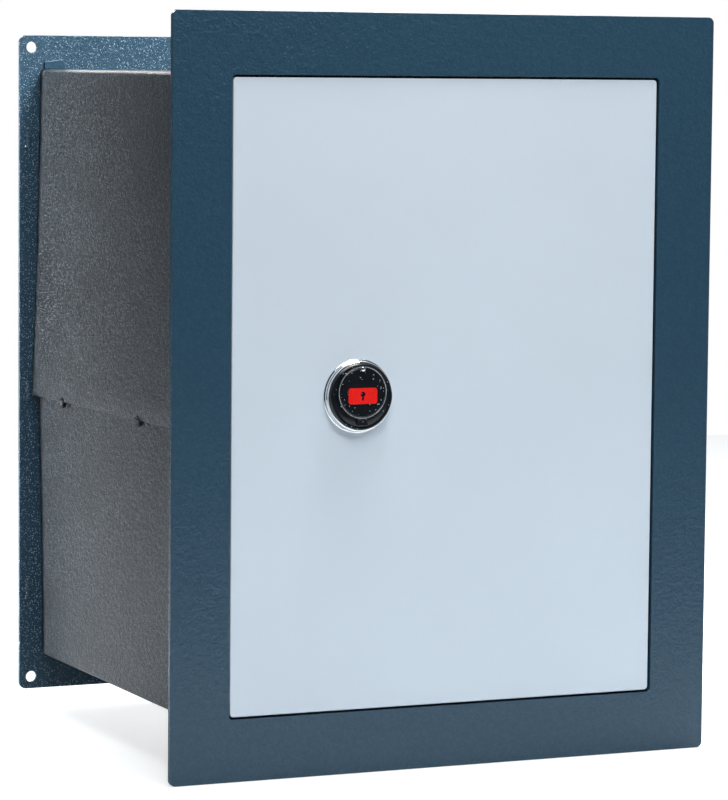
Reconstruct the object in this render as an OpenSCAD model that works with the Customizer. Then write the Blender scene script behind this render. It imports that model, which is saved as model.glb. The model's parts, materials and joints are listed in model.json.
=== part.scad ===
// Recessed wall safe with a key lock, built from folded steel sheet.
// Millimetres. X runs to the right, Y into the wall and Z up.
// The origin is the centre of the rear plate's hole pattern, on that plate's back face.

/* [Front frame] */
// Width of the front frame
frame_w = 392; // [380:1:420]
// Height of the front frame
frame_h = 500; // [480:1:540]
// Thickness of the front frame
frame_t = 4; // [3:0.5:5]
// Width of the frame's border round the door
border = 41; // [38:1:46]
// Corner radius of the front frame
frame_r = 4; // [3:0.5:10]

/* [Body] */
// Depth over all, from the frame's face to the rear plate's back
depth = 313; // [250:1:360]
// Thickness of the folded body sheet
sheet_t = 2; // [1.5:0.5:3]
// How far the upper shell's sides spread at their lower rear corner
upper_flare = 6; // [0:0.5:8]
// How far the lower shell's sides spread at their upper rear corner
lower_flare = 3.5; // [0:0.5:4]

/* [Rear plate] */
// Width of the rear plate
rear_w = 386; // [376:1:390]
// Height of the rear plate
rear_h = 470; // [460:1:480]
// Thickness of the rear plate
rear_t = 3; // [2:0.5:4]
// Diameter of the rear plate's fixing holes
hole_d = 8; // [6:0.5:9]
// Distance of a fixing hole from the rear plate's side edge
hole_in_x = 9; // [8:0.5:10]
// Distance of a fixing hole from the rear plate's top or bottom edge
hole_in_z = 8.5; // [8:0.5:10]

/* [Door] */
// Thickness of the door plate
door_t = 8; // [6:0.5:8]
// Gap between the door plate and the frame at the top, bottom and right
door_gap = 1.5; // [1.5:0.25:3]
// Gap between the door plate and the frame at the left, where the bolts are
latch_gap = 1; // [1:0.25:2]
// How far the door plate sits behind the frame's face
recess = 1; // [0.5:0.5:1.5]
// Distance of the hinge axis from the door's right edge
hinge_inset = 48.5; // [47:0.5:52]
// Distance of the hinge axis behind the door plate
hinge_behind = 12; // [11:0.5:12]

/* [Bolt work] */
// Diameter of a locking bolt
bolt_d = 20; // [16:1:20]
// Distance that the bolts are thrown
bolt_throw = 15; // [10:1:16]
// Spacing of the locking bolts up the door
bolt_pitch = 130; // [110:5:140]

/* [Lock] */
// Distance of the lock's axis from the door's centre line, to the left
lock_left = 65.4; // [60:0.2:70]
// Diameter of the bright ring round the lock
ring_d = 49; // [46:1:50]
// Diameter of the swinging keyhole cover
cover_d = 35; // [32:0.5:36]

/* [Hidden] */
$fn = 64;
fit = 0.05;
skin = 0.3;

front_y = -depth;
body_front_y = front_y + frame_t;
body_rear_y = -rear_t;
open_w = frame_w - 2 * border;
open_h = frame_h - 2 * border;
body_h = open_h + 2 * sheet_t;
upper_half_w = 178;
lap_gap = 0.1;
lower_half_w = upper_half_w - sheet_t - lap_gap;
seam_z = -22;
lap = 25;
upper_spread_y = body_front_y + 61;
lower_spread_y = body_front_y + 107;

door_left = latch_gap - open_w / 2;
door_right = open_w / 2 - door_gap;
door_w = door_right - door_left;
door_h = open_h - 2 * door_gap;
door_front_y = front_y + recess;
door_back_y = door_front_y + door_t;
pivot_x = door_right - hinge_inset;
pivot_y = door_back_y + hinge_behind;
pin_r = 5;
lug_r = 10;
lug_t = 10;
knuckle_t = 14;
washer_t = 1.5;
lug_z = 190;
arm_w = 12;
arm_reach = 45;

bolt_y = front_y + 21;
bolt_len = 40;
bolt_tip_x = -152;
bolt_tail_x = bolt_tip_x + bolt_len;
bar_t = 6;
bar_back_x = bolt_tail_x + bar_t;
guide_x = -150;
guide_t = 12;

lock_x = -lock_left;
hard_t = 4;
case_y = door_back_y + hard_t;
case_t = 2;
case_depth = 22;
case_left = -96;
case_right = -30;
case_low = -36;
case_high = 48;
case_wall = 3;
case_inset = 7;
case_screw_x = [case_left + case_inset, case_right - case_inset];
case_screw_z = [case_low + case_inset, case_high - case_inset];
curtain_r = 9;
journal_r = 5.5;
fixing_reach = 15;
bolt_plate_y = case_y + case_t + 2;
bolt_plate_t = 6;
bolt_plate_low = 7;
bit_reach = 8;
bolt_plate_high = 26;
stump_x = -66;
stump_z = 19;
stump_r = 2.25;
post_x = -39;
post_z = 19;
post_r = 3;
lever_count = 5;
lever_t = 1.5;
lever_pitch = 1.8;
lever_y = bolt_plate_y + bolt_plate_t + 0.8;
lever_left = -88;
lever_high_x = -44;
lever_low = 9.5;
lever_h = 20;
lever_eye_r = 5.5;

tray_left = -137.5;
tray_right = 70;
tray_half_h = 185;
tray_t = 1.2;
tray_depth = 35;
tray_post_x = [-100, 55];
tray_post_z = [-165, 165];

collar_h = 5.5;
bezel_d = 43.8;
bezel_front = 7.4;
cover_up = 3;
cover_t = 1.4;
cover_gap = 0.2;
cover_pivot_up = 18.5;
cover_back = bezel_front + cover_gap;

shelf_z = 30;
shelf_front_y = front_y + 80;
shelf_w = 340;
shelf_t = 1.5;

paint = "#34505f";
panel = "#c9d6e1";
dark_sheet = "#3a3b3e";
bright = "#d9dde0";
steel = "#8d9297";
black = "#1c1f24";

// A flat plate drawn in X and Z, from y to y + t.
module slab(y, t) {
    translate([0, y + t, 0]) rotate([90, 0, 0]) linear_extrude(t) children();
}

// A rectangle with round corners, centred.
module round_rect(w, h, r) {
    square([w - 2 * r, h], center = true);
    square([w, h - 2 * r], center = true);
    for (x = [-1, 1], z = [-1, 1])
        translate([x * (w / 2 - r), z * (h / 2 - r)]) circle(r);
}

// A round bar along Y, from y to y + t.
module rod_y(x, y, z, r, t) {
    translate([x, y + t, z]) rotate([90, 0, 0]) cylinder(r = r, h = t);
}

// A round bar along X, from x to x + t.
module rod_x(x, y, z, r, t) {
    translate([x, y, z]) rotate([0, 90, 0]) cylinder(r = r, h = t);
}

// A box from one corner to the opposite one.
module block(low, high) {
    translate(low) cube(high - low);
}

// Both hands of a piece that is the same on the left and on the right.
module both_sides() {
    children();
    mirror([1, 0, 0]) children();
}

// How far a shell's free edge has spread at y, if it starts at start_y and ends at the rear plate.
function spread_at(y, flare, start_y) = flare * max(0, (y - start_y) / (body_rear_y - start_y));

// A side of a shell: a sheet that is straight at its fold and spreads at its free rear corner.
module flared_side(half_w, z_fold, z_free, flare, start_y) {
    in = half_w - sheet_t;
    hull() for (x = [in, half_w]) {
        for (z = [z_fold, z_free]) corner(x, body_front_y, z);
        corner(x, body_rear_y, z_fold);
        corner(x, start_y, z_free);
    }
    hull() for (x = [in, half_w]) {
        corner(x, body_rear_y, z_fold);
        corner(x, start_y, z_free);
        corner(x + flare, body_rear_y, z_free);
    }
}

// A speck that marks one corner of a hull.
module corner(x, y, z) {
    translate([x, y, z]) cube(0.01, center = true);
}

module front_frame() {
    color(paint) slab(front_y, frame_t) difference() {
        round_rect(frame_w, frame_h, frame_r);
        round_rect(open_w, open_h, 3);
    }
}

module upper_side() {
    flared_side(upper_half_w, open_h / 2, seam_z, upper_flare, upper_spread_y);
}

module lower_side() {
    flared_side(lower_half_w, -open_h / 2, seam_z + lap, lower_flare, lower_spread_y);
}

module upper_shell() {
    half = upper_half_w;
    color(dark_sheet) {
        block([-half, body_front_y, open_h / 2], [half, body_rear_y, body_h / 2]);
        both_sides() upper_side();
    }
}

module lower_shell() {
    half = lower_half_w;
    color(dark_sheet) {
        block([-half, body_front_y, -body_h / 2], [half, body_rear_y, -open_h / 2]);
        both_sides() lower_side();
    }
}

module rear_plate() {
    hole_x = rear_w / 2 - hole_in_x;
    hole_z = rear_h / 2 - hole_in_z;
    color(paint) difference() {
        slab(-rear_t, rear_t) round_rect(rear_w, rear_h, 5);
        for (x = [-hole_x, hole_x], z = [-hole_z, hole_z])
            rod_y(x, -rear_t - 1, z, hole_d / 2, rear_t + 2);
    }
}

// Small folded tabs that locate the roof against the rear plate.
module roof_tabs() {
    tab_w = 16.5;
    tab_h = 7;
    left = -upper_half_w + 3;
    color(paint) both_sides() slab(body_rear_y - sheet_t, sheet_t)
        polygon([
            [left, body_h / 2], [left, body_h / 2 + tab_h * 0.75],
            [left + tab_w * 0.84, body_h / 2 + tab_h], [left + tab_w, body_h / 2]
        ]);
}

// Weld beads on the upper shell's lower edge, which fill the gap to the lower shell.
module seam_welds() {
    bead_r = 3.5;
    bead_t = 1.2;
    color(dark_sheet) both_sides() for (y = [front_y + 105, front_y + 248]) difference() {
        root_x = lower_half_w + spread_at(y, lower_flare, lower_spread_y) - sheet_t / 2;
        top_x = upper_half_w + spread_at(y, upper_flare, upper_spread_y) + bead_t;
        rod_x(root_x, y, seam_z - 1, bead_r, top_x - root_x);
        upper_side();
        lower_side();
    }
}

// Long weld pads down the front of the rear plate's edge.
module flange_welds() {
    pad_x = rear_w / 2 - 6;
    pad_r = 3;
    pad_l = 12;
    pad_t = 1.2;
    color(paint) both_sides() for (z = [-162, -19, 162])
        slab(-rear_t - pad_t, pad_t) translate([pad_x, z]) {
            square([2 * pad_r, pad_l], center = true);
            for (end = [-1, 1]) translate([0, end * pad_l / 2]) circle(pad_r);
        }
}

// The channel behind the frame that the bolts enter.
module strike_plate() {
    face_x = -158;
    plate_t = 4;
    web_t = 3;
    half_h = 195;
    back_y = front_y + 44;
    color(steel) difference() {
        union() {
            block([face_x - plate_t, body_front_y, -half_h], [face_x, back_y, half_h]);
            block([-lower_half_w + sheet_t, back_y - web_t, -half_h], [face_x - plate_t, back_y, half_h]);
        }
        for (n = [-1, 0, 1])
            rod_x(face_x - plate_t - 1, bolt_y, n * bolt_pitch, bolt_d / 2 + 1, plate_t + 2);
    }
}

// Angle strips on the roof and floor that the closed door rests against.
module door_stops() {
    left = -110;
    right = 70;
    leg_t = 3;
    leg_h = 9;
    foot_l = 18;
    stop_y = door_back_y + skin;
    color(steel) for (side = [0, 1]) mirror([0, 0, side]) {
        block([left, stop_y, open_h / 2 - leg_h], [right, stop_y + leg_t, open_h / 2]);
        block([left, stop_y + leg_t, open_h / 2 - leg_t], [right, stop_y + foot_l, open_h / 2]);
    }
}

// A fixed hinge lug with an arm that runs back and a foot on the roof or floor.
module hinge_bracket() {
    foot_start = 14;
    top = lug_z + lug_t;
    difference() {
        union() {
            translate([pivot_x, pivot_y, lug_z]) cylinder(r = lug_r, h = lug_t);
            block([pivot_x - arm_w, pivot_y, lug_z], [pivot_x, pivot_y + arm_reach, top]);
            block([pivot_x - arm_w, pivot_y + foot_start, top], [pivot_x, pivot_y + arm_reach, open_h / 2]);
        }
        translate([pivot_x, pivot_y, lug_z - 1]) cylinder(r = pin_r + fit, h = lug_t + 2);
    }
}

module hinge_brackets() {
    color(steel) {
        hinge_bracket();
        mirror([0, 0, 1]) hinge_bracket();
    }
}

module hinge_pins() {
    head_t = 2;
    tail = 3;
    pin_low = lug_z - washer_t - knuckle_t - tail;
    color(bright) for (side = [0, 1]) mirror([0, 0, side])
        translate([pivot_x, pivot_y, pin_low]) {
            cylinder(r = pin_r, h = lug_z + lug_t - pin_low);
            translate([0, 0, lug_z + lug_t - pin_low]) cylinder(r = pin_r + 2, h = head_t);
        }
}

module hinge_washers() {
    color("#b08d4a") for (side = [0, 1]) mirror([0, 0, side])
        translate([pivot_x, pivot_y, lug_z - washer_t]) difference() {
            cylinder(r = lug_r - 0.5, h = washer_t - fit);
            translate([0, 0, -1]) cylinder(r = pin_r + fit, h = washer_t + 2);
        }
}

// The shelf is a plain sheet with a lip folded down at the front and up at the rear.
module shelf() {
    y0 = shelf_front_y;
    y1 = body_rear_y - 4;
    lip = 14;
    half = shelf_w / 2;
    color(paint) {
        block([-half, y0, shelf_z - shelf_t], [half, y1, shelf_z]);
        block([-half, y0, shelf_z - shelf_t - lip], [half, y0 + shelf_t, shelf_z - shelf_t]);
        block([-half, y1 - shelf_t, shelf_z], [half, y1, shelf_z + lip]);
    }
}

// Two clips on the side walls and two on the rear plate carry the shelf.
module shelf_brackets() {
    top = shelf_z - shelf_t;
    wall_x = upper_half_w - sheet_t;
    side_y = shelf_front_y + 6;
    rear_y = body_rear_y;
    clip_t = 2;
    clip_h = 20;
    clip_reach = 22;
    side_w = 30;
    rear_x = [90, 130];
    color(steel) both_sides() {
        block([wall_x - clip_t, side_y, top - clip_h], [wall_x, side_y + side_w, top]);
        block([wall_x - clip_reach, side_y, top - clip_t], [wall_x - clip_t, side_y + side_w, top]);
        block([rear_x[0], rear_y - clip_t, top - clip_h], [rear_x[1], rear_y, top]);
        block([rear_x[0], rear_y - clip_reach, top - clip_t], [rear_x[1], rear_y - clip_t, top]);
    }
}

module floor_mat() {
    mat_w = 340;
    mat_t = 3;
    color("#4c5157") block(
        [-mat_w / 2, shelf_front_y, -open_h / 2],
        [mat_w / 2, body_rear_y - 2, -open_h / 2 + mat_t]
    );
}

module door_plate() {
    color(panel) difference() {
        slab(door_front_y, door_t)
            translate([(door_left + door_right) / 2, 0]) round_rect(door_w, door_h, 2.5);
        rod_y(lock_x, door_front_y - 1, 0, curtain_r + 1, door_t + 2);
        for (x = [-1, 1])
            rod_y(lock_x + x * fixing_reach, door_front_y - 1, 0, 2.2, door_t + 2);
    }
}

// Door-side hinge blocks, bored for the pins and cut round at the axis.
module hinge_knuckles() {
    foot_w = 16;
    foot_t = 5;
    color(steel) for (side = [0, 1]) mirror([0, 0, side])
        translate([pivot_x, pivot_y, lug_z - washer_t - knuckle_t]) difference() {
            union() {
                cylinder(r = lug_r, h = knuckle_t);
                translate([-lug_r, -hinge_behind, 0]) cube([2 * lug_r, hinge_behind, knuckle_t]);
                translate([-lug_r - foot_w, -hinge_behind, 0]) cube([foot_w, foot_t, knuckle_t]);
            }
            translate([0, 0, -1]) cylinder(r = pin_r + fit, h = knuckle_t + 2);
        }
}

// Fixed bolts on the hinge side, each on a small base block.
module dog_bolts() {
    dog_r = 6;
    dog_l = 20;
    dog_pitch = 110;
    base_w = 14;
    base_half_h = 10;
    dog_y = door_back_y + dog_r + 1;
    base_x = door_right - 22;
    color(bright) for (z = [-dog_pitch, 0, dog_pitch]) {
        rod_x(base_x + base_w, dog_y, z, dog_r, dog_l);
        block([base_x, door_back_y, z - base_half_h], [base_x + base_w, dog_y + dog_r + 1, z + base_half_h]);
    }
}

// A hardened plate between the lock case and the door.
module drill_plate() {
    margin = 8;
    left_margin = 2;
    color("#6d7074") difference() {
        block(
            [case_left - left_margin, door_back_y, case_low - margin],
            [case_right + margin, case_y, case_high + margin]
        );
        rod_y(lock_x, door_back_y - 1, 0, curtain_r + 1, hard_t + 2);
        for (x = [-1, 1])
            rod_y(lock_x + x * fixing_reach, door_back_y - 1, 0, 4, hard_t + 2);
    }
}

module lock_case() {
    top_y = case_y + case_depth;
    slot_gap = 0.3;
    color(steel) {
        difference() {
            block([case_left, case_y, case_low], [case_right, top_y, case_high]);
            block(
                [case_left + case_wall, case_y + case_t, case_low + case_wall],
                [case_right - case_wall, top_y + 1, case_high - case_wall]
            );
            rod_y(lock_x, case_y - 1, 0, curtain_r + fit, case_t + 2);
            block(
                [case_left - 1, bolt_plate_y - slot_gap, bolt_plate_low - slot_gap],
                [
                    case_left + case_wall + 1,
                    bolt_plate_y + bolt_plate_t + slot_gap,
                    bolt_plate_high + slot_gap
                ]
            );
            for (x = case_screw_x, z = case_screw_z)
                rod_y(x, case_y - 1, z, 2, case_depth + 2);
        }
        for (x = case_screw_x, z = case_screw_z) screw_boss(x, z);
    }
}

// A bored post in a corner of the lock case.
module screw_boss(x, z) {
    y = case_y + case_t;
    difference() {
        rod_y(x, y, z, 4.5, case_depth - case_t);
        rod_y(x, y - 1, z, 2, case_depth + 2);
    }
}

module lock_cover() {
    y = case_y + case_depth;
    color(steel) difference() {
        block([case_left, y, case_low], [case_right, y + case_t, case_high]);
        rod_y(lock_x, y - 1, 0, journal_r + fit, 4);
        rod_y(post_x, y - 1, post_z, post_r + fit, 4);
        for (x = case_screw_x, z = case_screw_z) rod_y(x, y - 1, z, 2.1, 4);
    }
}

module lock_screws() {
    y = case_y + case_depth + case_t;
    shank_l = 14;
    color(bright) for (x = case_screw_x, z = case_screw_z) {
        rod_y(x, y - shank_l, z, 1.95, shank_l);
        difference() {
            rod_y(x, y, z, 3.5, 2);
            block([x - 4, y + 1, z - 0.5], [x + 4, y + 3, z + 0.5]);
        }
    }
}

module lever_post() {
    y = case_y + case_t;
    color(bright) rod_y(post_x, y, post_z, post_r, case_depth - case_t + 1.5);
}

// The drum that the key enters, with a double-bit keyway.
module lock_curtain() {
    y0 = door_front_y - bezel_front + 1;
    shoulder_y = case_y + case_t;
    end_y = case_y + case_depth + 1.8;
    keyway_end = end_y - 6;
    color("#a8884c") difference() {
        union() {
            rod_y(lock_x, y0, 0, curtain_r, shoulder_y - y0);
            rod_y(lock_x, shoulder_y, 0, journal_r, end_y - shoulder_y);
        }
        rod_y(lock_x, y0 - 1, 0, 3.5, keyway_end - y0 + 1);
        block([lock_x - 1.5, y0 - 1, -bit_reach], [lock_x + 1.5, keyway_end, bit_reach]);
    }
}

module bolt_bar() {
    half_w = 9.5;
    half_h = 150;
    color(steel) difference() {
        block([bolt_tail_x, bolt_y - half_w, -half_h], [bar_back_x, bolt_y + half_w, half_h]);
        for (n = [-1, 0, 1]) rod_x(bolt_tail_x - 1, bolt_y, n * bolt_pitch, 4.1, bar_t + 2);
    }
}

module locking_bolts() {
    tip = 1.5;
    tapped = 14;
    color(bright) for (n = [-1, 0, 1]) translate([bolt_tip_x, bolt_y, n * bolt_pitch])
        rotate([0, 90, 0]) difference() {
            rotate_extrude() polygon([
                [0, 0], [bolt_d / 2 - tip, 0], [bolt_d / 2, tip], [bolt_d / 2, bolt_len], [0, bolt_len]
            ]);
            translate([0, 0, bolt_len - tapped]) cylinder(r = 4.05, h = tapped + 1);
        }
}

module bolt_screws() {
    shank_l = bar_t + 12;
    head_h = 7;
    socket_floor = 3;
    color("#2c2f33") for (n = [-1, 0, 1]) translate([bar_back_x, bolt_y, n * bolt_pitch])
        rotate([0, 90, 0]) {
            translate([0, 0, -shank_l]) cylinder(r = 4, h = shank_l);
            difference() {
                cylinder(r = 6.5, h = head_h);
                translate([0, 0, socket_floor]) cylinder(r = 3.4, h = head_h, $fn = 6);
            }
        }
}

module bolt_guides() {
    half_h = 18;
    top_y = bolt_y + 14;
    color(steel) for (n = [-1, 0, 1]) difference() {
        block(
            [guide_x, door_back_y, n * bolt_pitch - half_h],
            [guide_x + guide_t, top_y, n * bolt_pitch + half_h]
        );
        rod_x(guide_x - 1, bolt_y, n * bolt_pitch, bolt_d / 2 + 2 * fit, guide_t + 2);
    }
}

// The lock's own bolt: a flat tail on the bolt bar, with the notch that the key throws.
module lock_bolt() {
    end_x = -48;
    notch_half_w = 4;
    notch_h = 2.5;
    notch_x = lock_x + bolt_throw / 2;
    color("#b7a06a") difference() {
        block(
            [bar_back_x, bolt_plate_y, bolt_plate_low],
            [end_x, bolt_plate_y + bolt_plate_t, bolt_plate_high]
        );
        block(
            [notch_x - notch_half_w, bolt_plate_y - 1, bolt_plate_low - 1],
            [notch_x + notch_half_w, bolt_plate_y + bolt_plate_t + 1, bolt_plate_low + notch_h]
        );
    }
}

module bolt_stump() {
    color(bright) rod_y(stump_x, bolt_plate_y + bolt_plate_t, stump_z, stump_r, lever_count * lever_pitch + 1);
}

// One lever: a thin plate on the post, with a long gate for the stump.
module lever_outline() {
    gate_low = lever_low + 3.9;
    gate_h = 9;
    difference() {
        union() {
            translate([lever_left, lever_low]) square([lever_high_x - lever_left, lever_h]);
            translate([post_x, post_z]) circle(lever_eye_r);
            translate([lever_high_x - 2, post_z - lever_eye_r])
                square([post_x - lever_high_x + 2, 2 * lever_eye_r]);
        }
        translate([post_x, post_z]) circle(post_r + fit);
        translate([stump_x - bolt_throw - 3, gate_low]) square([bolt_throw + 6, gate_h]);
    }
}

module levers() {
    color("#c2a15a") for (n = [0 : lever_count - 1])
        slab(lever_y + n * lever_pitch, lever_t) lever_outline();
}

// A bent wire on each lever, which bears on the top of the case.
module lever_springs() {
    wire_t = 0.7;
    foot = lever_low + lever_h;
    tip_z = 41;
    color(bright) for (n = [0 : lever_count - 1])
        slab(lever_y + n * lever_pitch + 0.4, wire_t) polygon([
            [-50, foot], [-52, foot], [-80, tip_z - 1], [-80, tip_z], [-78, tip_z], [-50, foot + 1.5]
        ]);
}

// The folded cover over the bolt work, open towards the door.
module back_cover() {
    y0 = door_back_y;
    y1 = y0 + tray_depth;
    notch = bolt_d / 2 + 1.5;
    color(panel) difference() {
        block([tray_left, y0, -tray_half_h], [tray_right, y1, tray_half_h]);
        block(
            [tray_left + tray_t, y0 - 1, -tray_half_h + tray_t],
            [tray_right - tray_t, y1 - tray_t, tray_half_h - tray_t]
        );
        for (n = [-1, 0, 1]) block(
            [tray_left - 1, y0 - 1, n * bolt_pitch - notch],
            [tray_left + tray_t + 1, bolt_y + notch, n * bolt_pitch + notch]
        );
        for (x = tray_post_x, z = tray_post_z) rod_y(x, y1 - tray_t - 1, z, 2.6, tray_t + 2);
    }
}

module cover_posts() {
    y = door_back_y;
    post_d = 10;
    tap_from = 15;
    color(steel) for (x = tray_post_x, z = tray_post_z) difference() {
        rod_y(x, y, z, post_d / 2, tray_depth - tray_t);
        rod_y(x, y + tap_from, z, 2.55, tray_depth);
    }
}

module cover_screws() {
    y = door_back_y + tray_depth;
    shank_l = 15;
    head_t = 2.4;
    cross = 3;
    cross_y = y + head_t / 2;
    color(bright) for (x = tray_post_x, z = tray_post_z) {
        rod_y(x, y - shank_l, z, 2.5, shank_l);
        difference() {
            rod_y(x, y, z, 4.6, head_t);
            block([x - cross, cross_y, z - 0.5], [x + cross, y + 3, z + 0.5]);
            block([x - 0.5, cross_y, z - cross], [x + 0.5, y + 3, z + cross]);
        }
    }
}

// The bright stepped ring that stands on the door.
module escutcheon_ring() {
    r = ring_d / 2;
    in = bezel_d / 2 - 1.4;
    color(bright) translate([lock_x, door_front_y, 0]) rotate([90, 0, 0]) rotate_extrude() polygon([
        [in, 0], [r, 0], [r, 1.6], [r - 0.5, 2.2], [r - 1.1, 2.4], [r - 1.1, 3],
        [r - 1.6, 3.4], [r - 1.6, collar_h - 0.4], [r - 2, collar_h], [in, collar_h]
    ]);
}

// The black insert, with a bore for the drum and tapped holes for the screws behind.
module escutcheon_bezel() {
    r = bezel_d / 2;
    stem = r - 1.4 - fit;
    color(black) translate([lock_x, door_front_y, 0]) rotate([90, 0, 0]) difference() {
        rotate_extrude() polygon([
            [curtain_r + fit, 0], [stem, 0], [stem, collar_h], [r, collar_h],
            [r, bezel_front - 0.6], [r - 0.6, bezel_front], [curtain_r + fit, bezel_front]
        ]);
        for (x = [-1, 1]) translate([x * fixing_reach, 0, -1]) cylinder(r = 1.55, h = 6);
    }
}

module escutcheon_screws() {
    y = door_back_y;
    color(bright) for (x = [-1, 1]) {
        rod_y(lock_x + x * fixing_reach, door_front_y - 4, 0, 1.5, y - door_front_y + 4);
        rod_y(lock_x + x * fixing_reach, y, 0, 3, 2.2);
    }
}

// The rivet that the keyhole cover swings on.
module cover_rivet() {
    head = 0.8;
    y = door_front_y - bezel_front;
    color(bright) {
        rod_y(lock_x, y - cover_t - 2 * cover_gap, cover_pivot_up, 1, cover_t + 2 * cover_gap);
        rod_y(lock_x, y - cover_t - 2 * cover_gap - head, cover_pivot_up, 1.6, head);
    }
}

module keyhole_cover() {
    y = door_front_y - cover_back - cover_t;
    rim = 1.2;
    tab_w = 6;
    tab_lip = 1.6;
    tab_low = cover_up - cover_d / 2 - 4;
    color(black) difference() {
        union() {
            slab(y, cover_t) {
                translate([lock_x, cover_up]) circle(cover_d / 2);
                translate([lock_x - tab_w / 2, tab_low]) square([tab_w, cover_up - tab_low - 12]);
            }
            slab(y - 1, 1) translate([lock_x - tab_w / 2, tab_low]) square([tab_w, tab_lip]);
        }
        rod_y(lock_x, y - 2, cover_pivot_up, 1 + fit, cover_t + 4);
        slab(y - 1, 1.2) difference() {
            translate([lock_x, cover_up]) circle(cover_d / 2 - rim);
            translate([lock_x, cover_up]) circle(cover_d / 2 - rim - 0.5);
        }
    }
}

// A plain red bar with a keyhole shape cut from it.
module cover_emblem() {
    y = door_front_y - cover_back - cover_t;
    mark_t = 0.4;
    eye_r = 1.7;
    slot_w = 1.3;
    color("#d3201a") slab(y - mark_t, mark_t) translate([lock_x, 0.8]) difference() {
        round_rect(20.5, 10.5, 1.8);
        translate([0, 1.2]) circle(eye_r);
        translate([-slot_w / 2, -3]) square([slot_w, 4]);
    }
}

front_frame();
upper_shell();
lower_shell();
rear_plate();
roof_tabs();
seam_welds();
flange_welds();
strike_plate();
door_stops();
hinge_brackets();
hinge_pins();
hinge_washers();
shelf();
shelf_brackets();
floor_mat();
door_plate();
hinge_knuckles();
dog_bolts();
drill_plate();
lock_case();
lock_cover();
lock_screws();
lever_post();
lock_curtain();
bolt_bar();
locking_bolts();
bolt_screws();
bolt_guides();
lock_bolt();
bolt_stump();
levers();
lever_springs();
back_cover();
cover_posts();
cover_screws();
escutcheon_ring();
escutcheon_bezel();
escutcheon_screws();
cover_rivet();
keyhole_cover();
cover_emblem();
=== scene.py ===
import json
import math

import bpy
from mathutils import Matrix, Vector


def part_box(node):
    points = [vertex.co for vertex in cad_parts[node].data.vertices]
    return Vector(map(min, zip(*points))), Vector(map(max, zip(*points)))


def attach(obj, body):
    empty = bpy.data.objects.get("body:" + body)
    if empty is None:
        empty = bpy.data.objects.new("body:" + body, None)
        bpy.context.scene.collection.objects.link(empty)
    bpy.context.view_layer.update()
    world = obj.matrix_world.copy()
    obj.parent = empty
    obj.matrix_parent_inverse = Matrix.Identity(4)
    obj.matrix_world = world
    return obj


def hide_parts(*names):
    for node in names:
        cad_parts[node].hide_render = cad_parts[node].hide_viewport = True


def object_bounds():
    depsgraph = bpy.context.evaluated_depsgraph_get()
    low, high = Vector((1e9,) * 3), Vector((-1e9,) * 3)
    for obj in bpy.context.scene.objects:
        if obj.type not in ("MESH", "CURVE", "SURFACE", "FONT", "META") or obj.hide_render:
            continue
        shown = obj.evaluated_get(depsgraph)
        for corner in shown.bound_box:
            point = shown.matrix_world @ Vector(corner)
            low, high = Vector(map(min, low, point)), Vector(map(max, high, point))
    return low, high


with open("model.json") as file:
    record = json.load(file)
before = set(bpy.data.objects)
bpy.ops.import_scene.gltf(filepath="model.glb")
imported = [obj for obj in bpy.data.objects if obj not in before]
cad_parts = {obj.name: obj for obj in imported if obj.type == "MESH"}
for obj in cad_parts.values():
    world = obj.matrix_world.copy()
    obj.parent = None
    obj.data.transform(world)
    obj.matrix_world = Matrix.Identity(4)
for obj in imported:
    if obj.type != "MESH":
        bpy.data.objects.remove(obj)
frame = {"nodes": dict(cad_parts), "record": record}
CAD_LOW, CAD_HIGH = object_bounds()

bl_info = {
    "name": "Wall Safe",
    "version": (1, 0, 0),
    "blender": (4, 5, 0),
    "location": "View3D > Sidebar > Wall Safe",
    "description": "Models the finished pieces and paints of a recessed wall safe round its packed frame",
    "category": "Object",
}

MM = 0.001
# Two places closer than this count as the same.
NEAR = 1e-5
# Doubled vertices closer than this are merged.
DOUBLE = 2e-6
# The floor's front edge. It ends there so that the upper frame mirrors a darker room.
FLOOR_EDGE = -1.0
FLOOR_SIZE = 2.6
# Radii of the door plate's bore for the lock, and of the bore through the black insert.
LOCK_BORE_R = 10 * MM
INSERT_BORE_R_MM = 9.05
# Softening of screw heads and washers.
SCREW_EDGE = 0.2 * MM


def linear(hex_colour):
    """Turns an sRGB hex colour to the linear red, green and blue that shaders take."""
    parts = [int(hex_colour[i : i + 2], 16) / 255 for i in (1, 3, 5)]
    return tuple(c / 12.92 if c <= 0.04045 else ((c + 0.055) / 1.055) ** 2.4 for c in parts)


# ---------------------------------------------------------------- settings


class SafeShapeSettings(bpy.types.PropertyGroup):
    """Sizes that a user may change without touching the frame's own dimensions."""

    frame_edge: bpy.props.FloatProperty(
        name="Frame edge", description="Radius of the front frame's paint-softened front edges",
        default=0.9 * MM, min=0.2 * MM, max=1.8 * MM, unit="LENGTH", precision=4,
    )
    door_edge: bpy.props.FloatProperty(
        name="Door edge", description="Radius of the door plate's front edges",
        default=0.7 * MM, min=0.2 * MM, max=2 * MM, unit="LENGTH", precision=4,
    )
    fold_radius: bpy.props.FloatProperty(
        name="Fold radius", description="Outer radius of the folds in the body sheet",
        default=3.5 * MM, min=2.2 * MM, max=7 * MM, unit="LENGTH", precision=4,
    )
    cut_edge: bpy.props.FloatProperty(
        name="Cut edge", description="Softening of cut and machined edges",
        default=0.35 * MM, min=0.1 * MM, max=0.8 * MM, unit="LENGTH", precision=4,
    )
    camera_distance: bpy.props.FloatProperty(
        name="Camera distance", description="Distance of the camera in front of the frame's face",
        default=2.205, min=1.5, max=4, unit="LENGTH",
    )


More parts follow.
